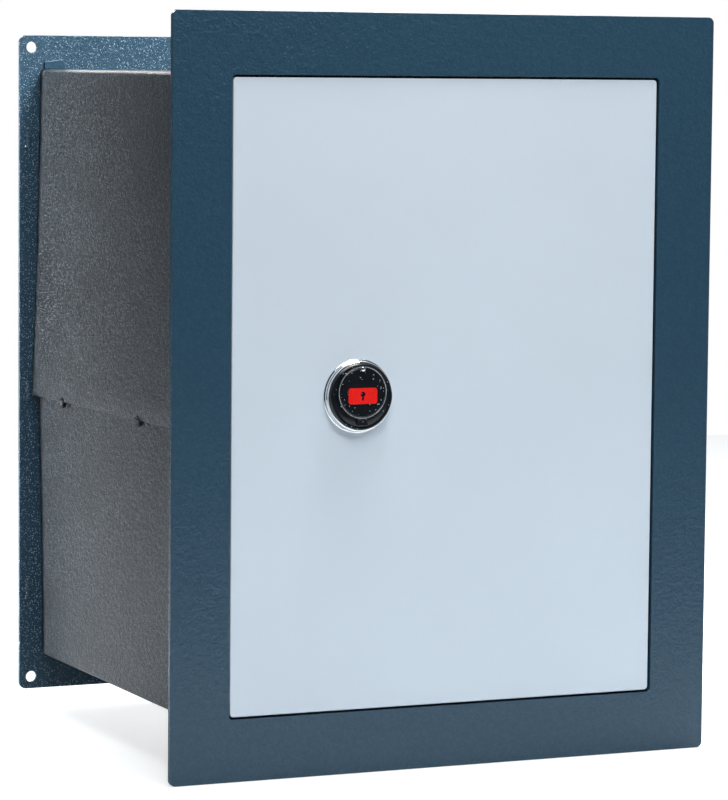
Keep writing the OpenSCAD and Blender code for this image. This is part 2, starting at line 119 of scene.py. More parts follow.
class SafeColourSettings(bpy.types.PropertyGroup):
    """Colours of the finishes."""

    frame_paint: bpy.props.FloatVectorProperty(
        name="Frame paint", description="Blue-grey powder coat of the frame and rear plate",
        default=linear("#2A475A"), size=3, min=0, max=1, subtype="COLOR",
    )
    body_paint: bpy.props.FloatVectorProperty(
        name="Body paint", description="Dark powder coat of the folded body",
        default=linear("#13181C"), size=3, min=0, max=1, subtype="COLOR",
    )
    door_paint: bpy.props.FloatVectorProperty(
        name="Door paint", description="Light blue-grey enamel of the door",
        default=linear("#CEDAE5"), size=3, min=0, max=1, subtype="COLOR",
    )
    emblem_red: bpy.props.FloatVectorProperty(
        name="Mark", description="Red fill of the plain mark on the keyhole cover",
        default=linear("#F0140A"), size=3, min=0, max=1, subtype="COLOR",
    )


# ---------------------------------------------------------------- modelling helpers


def activate(obj):
    """Leaves only this object selected and active, in object mode."""
    if bpy.context.object and bpy.context.object.mode != "OBJECT":
        bpy.ops.object.mode_set(mode="OBJECT")
    bpy.ops.object.select_all(action="DESELECT")
    obj.select_set(True)
    bpy.context.view_layer.objects.active = obj


def deselect():
    """Clears the selection before a primitive is added."""
    if bpy.context.object and bpy.context.object.mode != "OBJECT":
        bpy.ops.object.mode_set(mode="OBJECT")
    bpy.ops.object.select_all(action="DESELECT")


def settle_transform():
    """Puts the active object's place, turn and size into its mesh."""
    bpy.ops.object.transform_apply(location=True, rotation=True, scale=True)


def add_block(low, high):
    """Adds a box between two corners."""
    low, high = Vector(low), Vector(high)
    deselect()
    bpy.ops.mesh.primitive_cube_add(size=1, location=(low + high) / 2, scale=high - low)
    settle_transform()
    return bpy.context.object


def add_bar(centre, radius, length, axis="Y", vertices=48):
    """Adds a round bar that is centred on a point and lies along an axis."""
    turn = {"X": (0, math.pi / 2, 0), "Y": (math.pi / 2, 0, 0), "Z": (0, 0, 0)}[axis]
    deselect()
    bpy.ops.mesh.primitive_cylinder_add(
        vertices=vertices, radius=radius, depth=length, location=centre, rotation=turn
    )
    settle_transform()
    return bpy.context.object


def add_sheet(low, high):
    """Adds a flat sheet that faces the front, between two corners of equal Y."""
    low, high = Vector(low), Vector(high)
    deselect()
    bpy.ops.mesh.primitive_plane_add(size=1, location=(low + high) / 2, rotation=(math.pi / 2, 0, 0))
    bpy.context.object.scale = (high.x - low.x, high.z - low.z, 1)
    settle_transform()
    return bpy.context.object


def add_drop(centre, radii):
    """Adds an egg-shaped drop of three radii."""
    deselect()
    bpy.ops.mesh.primitive_uv_sphere_add(segments=20, ring_count=12, radius=1, location=centre)
    bpy.context.object.scale = radii
    settle_transform()
    return bpy.context.object


def edit(obj, kind, test):
    """Enters edit mode with the vertices, edges or faces selected whose place passes the test."""
    activate(obj)
    bpy.ops.object.mode_set(mode="EDIT")
    bpy.ops.mesh.select_mode(type=kind)
    bpy.ops.mesh.select_all(action="DESELECT")
    bpy.ops.object.mode_set(mode="OBJECT")
    mesh = obj.data
    if kind == "FACE":
        for face in mesh.polygons:
            face.select = bool(test(face.center, face.normal))
    elif kind == "EDGE":
        for edge in mesh.edges:
            start, end = (mesh.vertices[i].co for i in edge.vertices)
            edge.select = bool(test(start, end))
    else:
        for vertex in mesh.vertices:
            vertex.select = bool(test(vertex.co))
    bpy.ops.object.mode_set(mode="EDIT")


def leave_edit():
    """Goes back to object mode."""
    bpy.ops.object.mode_set(mode="OBJECT")


def along(axis):
    """A test for edges that run along one axis."""
    index = "XYZ".index(axis)
    others = [i for i in range(3) if i != index]
    return lambda a, b: all(abs(a[i] - b[i]) < NEAR for i in others) and abs(a[index] - b[index]) > NEAR


def bevel_where(obj, test, width, segments=4):
    """Rounds the edges that pass the test."""
    edit(obj, "EDGE", test)
    bpy.ops.mesh.bevel(
        offset=width, offset_type="OFFSET", segments=segments, affect="EDGES", clamp_overlap=True
    )
    leave_edit()


def modify(obj, kind, **settings):
    """Adds a modifier with its settings and applies it."""
    activate(obj)
    modifier = obj.modifiers.new(kind, kind)
    for name, value in settings.items():
        setattr(modifier, name, value)
    bpy.ops.object.modifier_apply(modifier=modifier.name)


def round_edges(obj, width, segments=3, angle=35):
    """Rounds every edge sharper than the angle."""
    modify(
        obj, "BEVEL", width=width, segments=segments, limit_method="ANGLE",
        angle_limit=math.radians(angle), use_clamp_overlap=True, miter_outer="MITER_ARC",
    )


def cut(obj, *tools):
    """Cuts the tools out of a piece and removes them."""
    for tool in tools:
        modify(obj, "BOOLEAN", operation="DIFFERENCE", solver="EXACT", object=tool)
        bpy.data.objects.remove(tool, do_unlink=True)


def join(pieces):
    """Joins pieces into the first one."""
    deselect()
    for piece in pieces:
        piece.select_set(True)
    bpy.context.view_layer.objects.active = pieces[0]
    bpy.ops.object.join()
    return bpy.context.object


def weld_doubles(obj, reach=DOUBLE):
    """Merges doubled vertices and turns every face outwards."""
    edit(obj, "VERT", lambda place: True)
    bpy.ops.mesh.remove_doubles(threshold=reach)
    bpy.ops.mesh.normals_make_consistent(inside=False)
    leave_edit()


def shade(obj, angle=32):
    """Shades smoothly across every edge that is blunter than the angle."""
    activate(obj)
    bpy.ops.object.shade_smooth_by_angle(angle=math.radians(angle))


def shade_flats(obj, angle=32):
    """Shades a piece smoothly, and keeps its large flat faces flat right up to their edges."""
    shade(obj, angle)
    modify(obj, "WEIGHTED_NORMAL", keep_sharp=True, weight=80)


def turned(centre, profile, steps=96, axis="Y"):
    """Turns a profile of (radius, distance along the axis) round an axis through a point.

    Distances run against the axis, so that they grow towards the front on axis Y.
    """
    toward = Vector({"X": (-1, 0, 0), "Y": (0, -1, 0), "Z": (0, 0, 1)}[axis])
    outward = Vector({"X": (0, 0, 1), "Y": (1, 0, 0), "Z": (1, 0, 0)}[axis])
    points = [Vector(centre) + outward * radius + toward * distance for radius, distance in profile]
    deselect()
    bpy.ops.mesh.primitive_plane_add(size=MM, location=points[0])
    settle_transform()
    obj = bpy.context.object
    edit(obj, "VERT", lambda place: True)
    bpy.ops.mesh.merge(type="CENTER")
    for before, after in zip(points, points[1:]):
        bpy.ops.mesh.extrude_vertices_move(TRANSFORM_OT_translate={"value": after - before})
    bpy.ops.mesh.select_all(action="SELECT")
    bpy.ops.mesh.spin(steps=steps, angle=math.tau, center=centre, axis=toward)
    leave_edit()
    weld_doubles(obj, 4e-6)
    return obj


def copy_by(obj, offset):
    """Copies a piece, with its own mesh, to another place."""
    twin = bpy.data.objects.new(obj.name, obj.data.copy())
    bpy.context.scene.collection.objects.link(twin)
    twin.data.transform(Matrix.Translation(offset))
    return twin


def mirrored(obj):
    """Copies a piece to the other side of the safe's middle plane."""
    twin = bpy.data.objects.new(obj.name, obj.data.copy())
    bpy.context.scene.collection.objects.link(twin)
    twin.data.transform(Matrix.Scale(-1, 4, (1, 0, 0)))
    weld_doubles(twin)
    return twin


def eased_copy(node, width, segments=2, angle=35):
    """Copies a CAD node and gives its edges the small radius that real ones have."""
    obj = bpy.data.objects.new(node + "_eased", frame["nodes"][node].data.copy())
    bpy.context.scene.collection.objects.link(obj)
    edit(obj, "VERT", lambda place: True)
    bpy.ops.mesh.remove_doubles(threshold=DOUBLE)
    bpy.ops.mesh.dissolve_limited(angle_limit=math.radians(0.6))
    leave_edit()
    round_edges(obj, width, segments, angle)
    shade_flats(obj)
    return obj


def settle(obj, name, body, slot, material, *replaced):
    """Names a finished piece, gives it its finish and body, and hides what it stands for."""
    obj.name = name
    obj.data.name = name
    obj.data.materials.clear()
    obj.data.materials.append(material)
    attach(obj, body)
    if replaced:
        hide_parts(*replaced)
    return obj


# ---------------------------------------------------------------- material helpers


def add(tree, kind, inputs=None, **settings):
    """Adds a node. An input may be a number, a colour or another node's output socket."""
    node = tree.nodes.new(kind)
    for name, value in settings.items():
        setattr(node, name, value)
    for name, value in (inputs or {}).items():
        socket = node.inputs[name]
        if isinstance(name, str):
            socket = next(s for s in node.inputs if s.name == name and s.enabled)
        if isinstance(value, bpy.types.NodeSocket):
            tree.links.new(value, socket)
        else:
            socket.default_value = value
    return node


def enabled_output(node):
    """The output that a node shows for its data type."""
    return next(s for s in node.outputs if s.enabled)


def blank(name):
    """A new material with an empty tree, and the place on the piece that its patterns read."""
    material = bpy.data.materials.new(name)
    material.use_nodes = True
    material.node_tree.nodes.clear()
    place = add(material.node_tree, "ShaderNodeTexCoord").outputs["Object"]
    return material, material.node_tree, place


def output(tree, shader):
    """Joins a finished shader to the material's surface."""
    add(tree, "ShaderNodeOutputMaterial", {"Surface": shader.outputs["BSDF"]})


def rgba(colour):
    """A colour with full opacity, as node sockets take it."""
    return (*colour, 1)


def tinted(colour, factor):
    """A lighter or darker shade of a colour."""
    return tuple(min(1, c * factor) for c in colour)


def ramp(tree, factor, low, high, low_at=0.0, high_at=1.0):
    """Blends two colours over a stretch of a factor."""
    node = add(tree, "ShaderNodeValToRGB", {"Fac": factor})
    first, last = node.color_ramp.elements
    first.position, last.position = low_at, high_at
    first.color, last.color = rgba(low), rgba(high)
    return node.outputs["Color"]


def spread(tree, factor, low, high):
    """Maps a 0 to 1 factor to a range of numbers."""
    node = add(tree, "ShaderNodeMapRange", {"Value": factor, "To Min": low, "To Max": high})
    return node.outputs["Result"]


def noise(tree, place, size_mm, detail=2.0, rough=0.5, **more):
    """Cloudy noise whose features are about the given size."""
    inputs = {"Vector": place, "Scale": 1 / (size_mm * MM), "Detail": detail, "Roughness": rough}
    inputs.update(more)
    return add(tree, "ShaderNodeTexNoise", inputs).outputs["Fac"]


def stretched(tree, place, scale):
    """The piece's coordinates, squeezed along the axes to draw a pattern out."""
    return add(tree, "ShaderNodeMapping", {"Vector": place, "Scale": scale}).outputs["Vector"]


# ---------------------------------------------------------------- materials


def powder_coat(name, colour, pebble_mm, depth_mm, gloss, ior, painted_pebble_shading, painted_glint_share, painted_glint_colour):
    """Polyester powder coat, sprayed and baked on steel. It flows into small glossy pebbles, which
    break up the reflections and catch the lights as separate points. Light and shade on the pebbles
    are also painted into the colour: the last three arguments set how much darker the hollows and
    paler the tops are painted, a painted shade and highlight, the share of pebbles painted as
    glints, and the colour of these painted glints. The pebbles are drawn two or three times too
    coarse so that they show."""
    material, tree, place = blank(name)
    # Longer along the depth, so that the pebbles stay apart on the long sides.
    place = stretched(tree, place, (1, 0.6, 1))
    pebbles = noise(tree, place, pebble_mm, 2, 0.6)
    lumps = noise(tree, place, pebble_mm * 3.1, 1)
    height = add(tree, "ShaderNodeMath", {0: pebbles, 1: lumps}, operation="ADD").outputs[0]
    bump = add(tree, "ShaderNodeBump", {"Height": height, "Distance": depth_mm * MM, "Strength": 1.0})
    # Painted shade and highlight: the pebbles' hollows are painted darker and their tops paler.
    low = tinted(colour, 1 - 0.6 * min(1, painted_pebble_shading))
    high = tuple(min(1, c * (1 + painted_pebble_shading) + 0.022 * painted_pebble_shading) for c in colour)
    base = ramp(tree, pebbles, low, high, 0.44, 0.62)
    # Painted glints: a share of the pebbles is painted in a pale colour, a painted highlight.
    cells = add(tree, "ShaderNodeTexVoronoi", {"Vector": place, "Scale": 1 / (0.9 * pebble_mm * MM)})
    glint_cells = add(tree, "ShaderNodeMath", {0: cells.outputs["Color"], 1: 1 - painted_glint_share}, operation="GREATER_THAN")
    near = add(tree, "ShaderNodeMath", {0: cells.outputs["Distance"], 1: 0.36}, operation="LESS_THAN")
    glint_mask = add(tree, "ShaderNodeMath", {0: glint_cells.outputs[0], 1: near.outputs[0]}, operation="MULTIPLY")
    painted_glints = add(
        tree, "ShaderNodeMix", {"Factor": glint_mask.outputs[0], "A": base, "B": rgba(painted_glint_colour)}, data_type="RGBA"
    )
    shader = add(
        tree, "ShaderNodeBsdfPrincipled",
        {
            "Base Color": enabled_output(painted_glints), "Normal": bump.outputs["Normal"], "IOR": ior,
            "Roughness": spread(tree, pebbles, gloss - 0.05, gloss + 0.08),
        },
    )
    output(tree, shader)
    return material


def satin_enamel(colour):
    """Baked satin enamel, sprayed on the ground door plate. It is smooth, with a faint long
    orange peel that only softens the reflections."""
    material, tree, place = blank("satin_door_enamel")
    peel = noise(tree, place, 3.2, 1)
    bump = add(tree, "ShaderNodeBump", {"Height": peel, "Distance": 0.02 * MM, "Strength": 0.5})
    cloud = noise(tree, place, 90, 2)
    base = ramp(tree, cloud, tinted(colour, 0.985), tinted(colour, 1.01), 0.3, 0.7)
    rough = spread(tree, peel, 0.34, 0.42)
    shader = add(
        tree, "ShaderNodeBsdfPrincipled",
        {"Base Color": base, "Roughness": rough, "Normal": bump.outputs["Normal"], "IOR": 1.5},
    )
    output(tree, shader)
    return material


def brushed_metal(name, light, dark, rough, grain_mm, stretch):
    """Worked metal: fine parallel marks from rolling, grinding or milling, and a faint stain."""
    material, tree, place = blank(name)
    lines = noise(tree, stretched(tree, place, stretch), grain_mm, 4, 0.6)
    stain = noise(tree, place, 18, 3)
    blend = add(tree, "ShaderNodeMath", {0: lines, 1: stain}, operation="MULTIPLY").outputs[0]
    base = ramp(tree, blend, linear(dark), linear(light), 0.12, 0.38)
    bump = add(tree, "ShaderNodeBump", {"Height": lines, "Distance": 0.02 * MM, "Strength": 0.4})
    shader = add(
        tree, "ShaderNodeBsdfPrincipled",
        {
            "Base Color": base, "Metallic": 1.0, "Roughness": spread(tree, lines, rough - 0.07, rough + 0.1),
            "Normal": bump.outputs["Normal"],
        },
    )
    output(tree, shader)
    return material


def mill_steel():
    """Hot-rolled mild steel, welded and left bare inside the door: grey, dull and cloudy."""
    return brushed_metal("mill_steel", "#9A9FA4", "#6E7378", 0.42, 0.8, (1, 1, 0.12))


def hardened_steel():
    """Quenched tool steel, dark blue-grey from the heat."""
    return brushed_metal("hardened_steel", "#5E636A", "#3A3E44", 0.38, 0.6, (1, 1, 0.3))


def ground_steel():
    """Centreless-ground and nickel-plated bar: bright, with fine marks round it."""
    return brushed_metal("ground_steel", "#D6D8DA", "#A9ADB1", 0.22, 0.5, (0.15, 1, 1))


def black_oxide():
    """Black-oxide socket screws: near black, slightly oily."""
    return brushed_metal("black_oxide_screw", "#34373B", "#1B1D20", 0.36, 0.7, (1, 1, 1))


def milled_brass():
    """Milled free-cutting brass of the lock's working parts, slightly dulled."""
    return brushed_metal("milled_brass", "#CDA85A", "#9C7A38", 0.3, 0.5, (1, 0.2, 1))


def sintered_bronze():
    """Oil-filled sintered bronze: brown, fine grained and matt."""
    return brushed_metal("sintered_bronze", "#A9794A", "#7A5430", 0.5, 0.3, (1, 1, 1))


def polished_chrome():
    """Bright decorative chrome on turned brass: a mirror with the faintest haze."""
    material, tree, place = blank("polished_chrome")
    haze = noise(tree, place, 6, 3)
    shader = add(
        tree, "ShaderNodeBsdfPrincipled",
        {
            "Base Color": ramp(tree, haze, linear("#D9DBDD"), linear("#F1F2F3"), 0.3, 0.7),
            "Metallic": 1.0, "Roughness": spread(tree, haze, 0.05, 0.1),
        },
    )
    output(tree, shader)
    return material


def black_enamel():
    """Glossy black enamel on the keyhole cover and its insert, with the pale specks of handling and a
    paler broken line round the cover's rim, painted in as a painted highlight."""
    material, tree, place = blank("black_enamel")
    dots = add(
        tree, "ShaderNodeTexVoronoi",
        {"Vector": stretched(tree, place, (1, 0.2, 1)), "Scale": 1 / (2.0 * MM), "Randomness": 1.0},
    )
    rare = add(tree, "ShaderNodeMath", {0: dots.outputs["Color"], 1: 0.25}, operation="GREATER_THAN")
    size = noise(tree, place, 3, 1)
    near = add(
        tree, "ShaderNodeMath", {0: dots.outputs["Distance"], 1: spread(tree, size, 0.0, 0.27)},
        operation="LESS_THAN",
    )
    fleck = add(tree, "ShaderNodeMath", {0: rare.outputs[0], 1: near.outputs[0]}, operation="MULTIPLY")
    low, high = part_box("keyhole_cover")
    radius = (high.x - low.x) / 2
    centre = Vector(((low.x + high.x) / 2, 0, high.z - radius))
    flat = add(
        tree, "ShaderNodeMapping",
        {"Vector": place, "Location": (-centre.x, 0, -centre.z), "Scale": (1, 0, 1)},
    ).outputs["Vector"]
    reach = add(tree, "ShaderNodeVectorMath", {0: flat}, operation="LENGTH").outputs["Value"]
    # A paler broken line round the cover's rim is a painted highlight; it shares the specks' colour.
    rim = add(tree, "ShaderNodeMath", {0: reach, 1: radius - 0.75 * MM, 2: 0.22 * MM}, operation="COMPARE")
    gaps = spread(tree, noise(tree, place, 2.4, 3), 0.0, 1.3)
    painted_rim_highlight = add(tree, "ShaderNodeMath", {0: rim.outputs[0], 1: gaps}, operation="MULTIPLY").outputs[0]
    specks_and_rim_highlight = add(tree, "ShaderNodeMath", {0: fleck.outputs[0], 1: painted_rim_highlight}, operation="MAXIMUM").outputs[0]
    smear = noise(tree, stretched(tree, place, (1, 1, 0.4)), 5, 3)
    shader = add(
        tree, "ShaderNodeBsdfPrincipled",
        {
            "Base Color": ramp(tree, specks_and_rim_highlight, linear("#12161B"), linear("#B4BCC4"), 0.1, 0.9),
            "Roughness": spread(tree, smear, 0.1, 0.3), "IOR": 1.5,
        },
    )
    output(tree, shader)
    return material


def red_fill(colour):
    """Stoved red fill in the cover's mark: strong, even and slightly glossy."""
    material, tree, place = blank("red_fill")
    mottle = noise(tree, place, 1.2, 2)
    shader = add(
        tree, "ShaderNodeBsdfPrincipled",
        {
            "Base Color": ramp(tree, mottle, tinted(colour, 0.85), colour, 0.3, 0.6),
            "Roughness": spread(tree, mottle, 0.3, 0.42), "IOR": 1.5,
        },
    )
    output(tree, shader)
    return material


def needle_felt():
    """Grey needle-punched felt: matt tangled fibres whose tone varies in clumps, painted lighter where
    the bump raises them, a painted highlight. The fibres are drawn about four times too coarse so
    that they show."""
    material, tree, place = blank("needle_felt")
    fibres = noise(tree, stretched(tree, place, (1, 2.2, 1)), 1.1, 6, 0.75, Distortion=1.2)
    clumps = noise(tree, place, 9, 3)
    # The raised fibres are painted lighter, a painted highlight; the clumps vary the tone.
    mixed = add(tree, "ShaderNodeMath", {0: fibres, 1: clumps}, operation="MULTIPLY").outputs[0]
    bump = add(tree, "ShaderNodeBump", {"Height": fibres, "Distance": 0.5 * MM, "Strength": 0.8})
    shader = add(
        tree, "ShaderNodeBsdfPrincipled",
        {
            "Base Color": ramp(tree, mixed, linear("#33383D"), linear("#6B7177"), 0.12, 0.42),
            "Roughness": 0.95, "Sheen Weight": 0.4, "Sheen Roughness": 0.5,
            "Normal": bump.outputs["Normal"],
        },
    )
    output(tree, shader)
    return material


def pale_floor():
    """The plain pale floor that the safe stands on. It glows a little where it is seen directly, so
    that it is white there and still throws little light up at the safe."""
    material, tree, place = blank("pale_floor")
    seen = add(tree, "ShaderNodeLightPath").outputs["Is Camera Ray"]
    shader = add(
        tree, "ShaderNodeBsdfPrincipled",
        {
            "Base Color": ramp(tree, noise(tree, place, 400, 1), linear("#C0C5C9"), linear("#C5CACE")),
            "Roughness": 0.8, "Emission Color": rgba((1, 1, 1)),
            "Emission Strength": spread(tree, seen, 0, 0.62),
        },
    )
    output(tree, shader)
    return material


FINISHES = {}


def rear_coat():
    """The frame's paint on the rear plate, with more orange peel and heavier painted light: darker
    painted hollows, paler painted pebble tops and many pebbles painted as glints, so that the rear
    plate and its weld pads read lighter than the frame."""
    if "rear_coat" not in FINISHES:
        colours = bpy.context.scene.safe_colours
        # Painted shade and highlight on the pebbles, and many painted glints, heavier than on the frame.
        FINISHES["rear_coat"] = powder_coat(
            "rear_powder_coat_painted_light", colours.frame_paint, 0.9, 0.4, 0.2, 1.5, 0.5, 0.23, linear("#9DB3C1")
        )
    return FINISHES["rear_coat"]


def finish(slot):
    """The material of one of the record's slots, made once."""
    colours = bpy.context.scene.safe_colours
    # In each powder coat the last three arguments paint light and shade on the pebbles: painted dark hollows
    # and pale tops, the share of pebbles painted as glints, and the glints' colour.
    makers = {
        "frame_paint": lambda: powder_coat(
            "frame_powder_coat", colours.frame_paint, 1.3, 0.33, 0.14, 1.5, 0.08, 0.02, linear("#BFD2DE")
        ),
        "body_paint": lambda: powder_coat(
            "body_powder_coat", colours.body_paint, 1.0, 0.5, 0.32, 1.38, 0.9, 0.42, linear("#6A747C")
        ),
        "door_paint": lambda: satin_enamel(colours.door_paint),
        "raw_steel": mill_steel,
        "hard_steel": hardened_steel,
        "ground_steel": ground_steel,
        "black_screw": black_oxide,
        "lock_brass": milled_brass,
        "bronze": sintered_bronze,
        "ring_chrome": polished_chrome,
        "cover_black": black_enamel,
        "emblem_red": lambda: red_fill(colours.emblem_red),
        "mat_felt": needle_felt,
    }
    if slot not in FINISHES:
        FINISHES[slot] = makers[slot]()
    return FINISHES[slot]


SLOT_OF = {s["node"]: s["material_slot"] for s in frame["record"]["subparts"]}
BODY_OF = {node: body for body, nodes in frame["record"]["behaviour"]["bodies"].items() for node in nodes}


def settle_as(obj, node, name=None):
    """Settles a piece in the body of the CAD node that it stands for, with the finish made for that node's
    slot.
    """
    slot = SLOT_OF[node]
    return settle(obj, name or node + "_piece", BODY_OF[node], slot, finish(slot), node)


# ---------------------------------------------------------------- pieces


class SafeOperator(bpy.types.Operator):
    """Base of the operators that model one piece or group of pieces."""

    bl_idname = "safe.base"
    bl_label = "Safe piece"
    bl_options = {"REGISTER", "UNDO"}

    def execute(self, context):
        shape = context.scene.safe_shape
        self.build(shape)
        return {"FINISHED"}


class SAFE_OT_front_frame(SafeOperator):
    """Models the flat front frame, with round corners and paint-softened edges"""

    bl_idname = "safe.front_frame"
    bl_label = "Front frame"

    def build(self, shape):
        low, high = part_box("front_frame")
        opening_low, opening_high = opening_box()
        border = opening_low.x - low.x
        obj = add_sheet(low, (high.x, low.y, high.z))
        edit(obj, "FACE", lambda centre, normal: True)
        bpy.ops.mesh.inset(thickness=border, depth=0)
        bpy.ops.mesh.delete(type="FACE")
        bpy.ops.mesh.select_all(action="SELECT")
        bpy.ops.mesh.extrude_region_move(TRANSFORM_OT_translate={"value": (0, high.y - low.y, 0)})
        leave_edit()
        weld_doubles(obj)
        across = along("Y")
        outer_reach = high.x - border / 2
        bevel_where(obj, lambda a, b: across(a, b) and abs(a.x) > outer_reach, 4 * MM, 8)
        bevel_where(obj, lambda a, b: across(a, b) and abs(a.x) < outer_reach, 3 * MM, 6)
        front = low.y + NEAR
        front_face = lambda a, b: max(a.y, b.y) < front
        rim = lambda a, b: front_face(a, b) and not crosses_border(a, b, opening_high)
        bevel_where(obj, rim, shape.frame_edge, 5)
        back = high.y - NEAR
        back_rim = lambda a, b: min(a.y, b.y) > back and not crosses_border(a, b, opening_high)
        bevel_where(obj, back_rim, shape.cut_edge, 2)
        shade_flats(obj)
        settle_as(obj, "front_frame")


def opening_box():
    """The door opening's corners. The door stops reach its full height, and its border is even."""
    low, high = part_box("front_frame")
    border = high.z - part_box("door_stops")[1].z
    inwards = Vector((border, 0, border))
    return low + inwards, high - inwards


def crosses_border(a, b, opening):
    """Whether an edge runs across the frame's border, from the opening to the outside."""
    inside = [abs(p.x) < opening.x + MM and abs(p.z) < opening.z + MM for p in (a, b)]
    return inside[0] != inside[1]


class SAFE_OT_door_plate(SafeOperator):
    """Models the door plate, bored for the lock"""

    bl_idname = "safe.door_plate"
    bl_label = "Door plate"

    def build(self, shape):
        low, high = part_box("door_plate")
        drum_low, drum_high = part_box("lock_curtain")
        lock = (drum_low + drum_high) / 2
        obj = add_block(low, high)
        bevel_where(obj, along("Y"), 2.5 * MM, 6)
        front = lambda a, b: max(a.y, b.y) < low.y + NEAR
        bevel_where(obj, front, shape.door_edge, 4)
        back = lambda a, b: min(a.y, b.y) > high.y - NEAR
        bevel_where(obj, back, shape.cut_edge, 2)
        cut(obj, add_bar((lock.x, (low.y + high.y) / 2, lock.z), LOCK_BORE_R, 30 * MM))
        shade_flats(obj)
        settle_as(obj, "door_plate")


class SAFE_OT_body_shells(SafeOperator):
    """Models the two folded shells, which spread a little where they lap at the rear"""

    bl_idname = "safe.body_shells"
    bl_label = "Body shells"

    def build(self, shape):
        for node, side, spread_mm in (("upper_shell", 1, 6), ("lower_shell", -1, 3.5)):
            settle_as(self.shell(shape, node, side, spread_mm * MM), node)

    def shell(self, shape, node, side, spread_m):
        low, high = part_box(node)
        half = min(-low.x, high.x) - spread_m
        sheet = 2 * MM
        obj = add_block((-half, low.y, low.z), (half, high.y, high.z))
        fold_z = high.z if side > 0 else low.z
        free_z = low.z if side > 0 else high.z
        gone = lambda centre, normal: abs(normal.y) > 0.5 or normal.z * side < -0.5
        edit(obj, "FACE", gone)
        bpy.ops.mesh.delete(type="FACE")
        leave_edit()
        lengthwise = along("Y")
        bevel_where(obj, lambda a, b: lengthwise(a, b) and abs(a.z - fold_z) < NEAR, shape.fold_radius, 6)
        self.slice(obj, (0, 1, 0), low.y, high.y, 18)
        self.slice(obj, (0, 0, 1), low.z, high.z, 14)
        # The sides stay straight over the first tenth of the depth, then spread towards the lap.
        straight = 0.1
        for vertex in obj.data.vertices:
            back = (vertex.co.y - low.y) / (high.y - low.y)
            down = (vertex.co.z - fold_z) / (free_z - fold_z)
            outward = math.copysign(1, vertex.co.x) if abs(vertex.co.x) > half - MM else 0
            rearward = max(0, back - straight)
            vertex.co.x += outward * spread_m * rearward / (1 - straight) * max(0, down) ** 1.5
        modify(obj, "SOLIDIFY", thickness=sheet, offset=-1, use_even_offset=True)
        round_edges(obj, shape.cut_edge, 2, 50)
        shade(obj)
        return obj

    def slice(self, obj, normal, start, end, count):
        """Cuts a shell across in equal steps, so that it can bend smoothly."""
        for step in range(1, count):
            place = start + (end - start) * step / count
            edit(obj, "FACE", lambda centre, face_normal: True)
            bpy.ops.mesh.bisect(plane_co=Vector(normal) * place, plane_no=normal)
            leave_edit()


class SAFE_OT_rear_plate(SafeOperator):
    """Models the rear plate with its four fixing holes, and the tabs on the roof"""

    bl_idname = "safe.rear_plate"
    bl_label = "Rear plate and tabs"

    def build(self, shape):
        low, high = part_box("rear_plate")
        obj = add_block(low, high)
        bevel_where(obj, along("Y"), 5 * MM, 8)
        holes = frame["record"]["mounts"][0]["dims"]
        reach_x, reach_z = holes["spacing_x_mm"] * MM / 2, holes["spacing_y_mm"] * MM / 2
        middle = (low.y + high.y) / 2
        for x in (-reach_x, reach_x):
            for z in (-reach_z, reach_z):
                cut(obj, add_bar((x, middle, z), holes["hole_r_mm"] * MM, 20 * MM, "Y", 40))
        round_edges(obj, 0.6 * MM, 3, 50)
        shade_flats(obj)
        settle(obj, "rear_plate_piece", "body", "frame_paint", rear_coat(), "rear_plate")
        tabs = eased_copy("roof_tabs", 0.5 * MM, 3)
        settle_as(tabs, "roof_tabs")


class SAFE_OT_weld_beads(SafeOperator):
    """Models the tack welds on the lap and the weld pads on the rear flange"""

    bl_idname = "safe.weld_beads"
    bl_label = "Weld beads"

    def build(self, shape):
        self.seam_welds()
        self.flange_welds()

    def seam_welds(self):
        beads = {}
        for vertex in frame["nodes"]["seam_welds"].data.vertices:
            if vertex.co.x < 0:
                beads.setdefault(round(vertex.co.y, 1), []).append(vertex.co.copy())
        tacks = []
        for points in beads.values():
            middle = sum(points, Vector()) / len(points)
            # The tack's middle lies a millimetre inside the outer face of its CAD bead.
            middle.x = min(point.x for point in points) + 1.0 * MM
            tacks.append(self.tack(middle))
        left = self.melt(tacks, 0.22 * MM, 0.12 * MM)
        right = mirrored(left)
        settle_as(join([left, right]), "seam_welds")

    def tack(self, middle):
        """A tack weld: a row of crescents, each laid half over the one before."""
        drops = []
        pitch, rise, sink = 1.5, 0.25, 0.12
        for number in range(5):
            step = number - 2
            half_height = 3.9 - 0.42 * abs(number - 1.6) ** 1.6
            place = middle + Vector((sink * abs(step), pitch * step, rise * step)) * MM
            drops.append(add_drop(place, Vector((1.9, 1.05, half_height)) * MM))
        return join(drops)

    def flange_welds(self):
        low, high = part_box("flange_welds")
        pads = []
        column = low.x + 3 * MM
        pad_heights_mm, pitch_mm = (-162, -19, 162), 3
        for middle_mm in pad_heights_mm:
            for step in (-2, -1, 0, 1, 2):
                odd = step % 2
                place = (column + odd * 0.5 * MM, high.y, (middle_mm + pitch_mm * step) * MM)
                pads.append(add_drop(place, Vector((2.6 - 0.3 * odd, 1.7, 2.1)) * MM))
        left = self.melt(pads, 0.3 * MM, 0.15 * MM)
        # What would stand in the rear plate is cut away.
        cut(left, add_block((-1, high.y - 0.05 * MM, -1), (1, high.y + 0.01, 1)))
        right = mirrored(left)
        settle(join([left, right]), "flange_welds_piece", "body", "frame_paint", rear_coat(), "flange_welds")

    def melt(self, pieces, voxel, ripple):
        """Fuses drops into one skin and roughens it."""
        obj = join(pieces)
        modify(obj, "REMESH", mode="VOXEL", voxel_size=voxel, use_smooth_shade=True)
        texture = bpy.data.textures.new("weld_ripple", "CLOUDS")
        texture.noise_scale = 1.6 * MM
        modify(obj, "DISPLACE", texture=texture, strength=ripple, mid_level=0.5, texture_coords="LOCAL")
        modify(obj, "SMOOTH", factor=0.5, iterations=2)
        activate(obj)
        bpy.ops.object.shade_smooth()
        return obj


